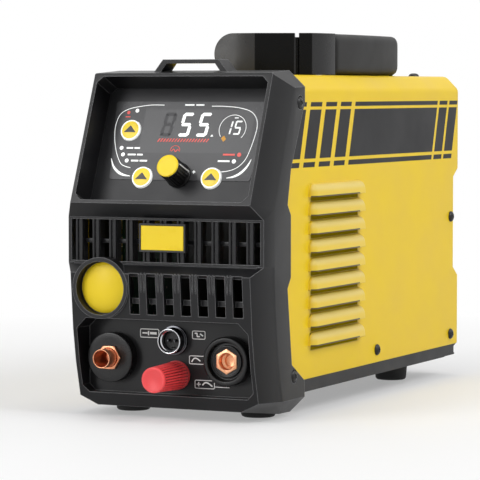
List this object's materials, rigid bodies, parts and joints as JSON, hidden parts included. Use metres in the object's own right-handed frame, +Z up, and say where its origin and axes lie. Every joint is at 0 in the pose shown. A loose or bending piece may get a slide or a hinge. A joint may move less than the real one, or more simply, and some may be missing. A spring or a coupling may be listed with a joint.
{
  "type": "plasma cutter",
  "caption": "Portable inverter plasma cutter: louvred metal case, moulded front with recessed display and sockets, folding carrying handle.",
  "frame": {"origin": "centre of the overall box at the ground under the feet", "axes": "+Y from the front to the rear, +Z up, +X to the right seen from the front"},
  "size_m": [0.165, 0.4102, 0.2717],
  "materials": {
    "case_yellow": "satin powder coat",
    "tray_black": "fine textured powder coat",
    "bezel_plastic": "moulded, fine grain",
    "panel_plastic": "moulded, smooth",
    "film": "printed overlay",
    "yellow_plastic": "moulded",
    "red_plastic": "moulded",
    "black_plastic": "moulded",
    "rubber": "soft",
    "sleeve_rubber": "soft grip",
    "copper": "bare copper",
    "brass": "turned",
    "plated": "nickel plated",
    "steel": "zinc plated",
    "screw_black": "black oxide",
    "aluminium": "extruded",
    "board": "solder mask",
    "ferrite": "sintered",
    "tape": "wrapped tape",
    "capacitor": "sleeved",
    "air_hose": "hose"
  },
  "bodies": {
    "case": {"base_tray": "tray_black", "feet": "rubber", "foot_screws": "steel", "cover_shell": "case_yellow", "cover_screws": "screw_black", "front_bezel": "bezel_plastic", "bezel_screws": "screw_black", "upper_grille": "bezel_plastic", "name_plate_frame": "panel_plastic", "name_plate": "yellow_plastic", "round_badge": "yellow_plastic", "display_panel": "panel_plastic", "display_film": "film", "control_board": "board", "digit_display": "black_plastic", "tact_switches": "black_plastic", "encoder": "steel", "torch_boss": "black_plastic", "torch_nut": "copper", "torch_spigot": "copper", "signal_socket": "plated", "signal_insert": "black_plastic", "signal_pins": "brass", "pilot_stud": "brass", "pilot_collar": "red_plastic", "earth_socket": "black_plastic", "earth_contact": "copper", "handle_brackets": "black_plastic", "handle_pins": "steel", "rear_panel": "tray_black", "rear_screws": "steel", "fan_frame": "black_plastic", "fan_guard": "steel", "power_switch": "black_plastic", "cable_gland": "black_plastic", "air_inlet": "brass", "solenoid_valve": "brass", "air_tube": "air_hose", "main_board": "board", "board_spacers": "steel", "heat_sinks": "aluminium", "transformer_core": "ferrite", "transformer_winding": "tape", "choke_core": "tape", "choke_winding": "copper", "capacitors": "capacitor", "coil_board": "board", "start_coil": "tape"},
    "handle": {"handle_frame": "black_plastic", "handle_grip": "sleeve_rubber"},
    "knob": {"knob_body": "black_plastic", "knob_cap": "yellow_plastic"},
    "mode_key": {"button_mode": "yellow_plastic"},
    "gas_key": {"button_gas": "yellow_plastic"},
    "metal_key": {"button_metal": "yellow_plastic"},
    "fan": {"fan_rotor": "black_plastic"},
    "rocker": {"power_rocker": "red_plastic"},
    "pilot_knob": {"pilot_cap": "red_plastic"}
  },
  "joints": [
    {"name": "handle_fold", "type": "hinge", "parent": "case", "child": "handle", "pos_m": [0, 0.03425, 0.2565], "axis": [0, -1, 0], "range_deg": [0, 180]},
    {"name": "knob_turn", "type": "hinge", "parent": "case", "child": "knob", "pos_m": [-0.0005, -0.16252, 0.17204], "axis": [0, -0.9239, 0.3827], "continuous": true},
    {"name": "mode_key_press", "type": "slide", "parent": "case", "child": "mode_key", "axis": [0, 0.9239, -0.3827], "range_m": [0, 0.0008], "stiffness_N_per_m": 400},
    {"name": "gas_key_press", "type": "slide", "parent": "case", "child": "gas_key", "axis": [0, 0.9239, -0.3827], "range_m": [0, 0.0008], "stiffness_N_per_m": 400},
    {"name": "metal_key_press", "type": "slide", "parent": "case", "child": "metal_key", "axis": [0, 0.9239, -0.3827], "range_m": [0, 0.0008], "stiffness_N_per_m": 400},
    {"name": "fan_spin", "type": "hinge", "parent": "case", "child": "fan", "pos_m": [0, 0.16315, 0.144], "axis": [0, 1, 0], "continuous": true},
    {"name": "rocker_tip", "type": "hinge", "parent": "case", "child": "rocker", "pos_m": [0.044, 0.17715, 0.052], "axis": [1, 0, 0], "range_deg": [-24, 0]},
    {"name": "pilot_knob_turn", "type": "hinge", "parent": "case", "child": "pilot_knob", "pos_m": [0.0028, -0.18785, 0.0304], "axis": [0, -1, 0], "continuous": true}
  ]
}
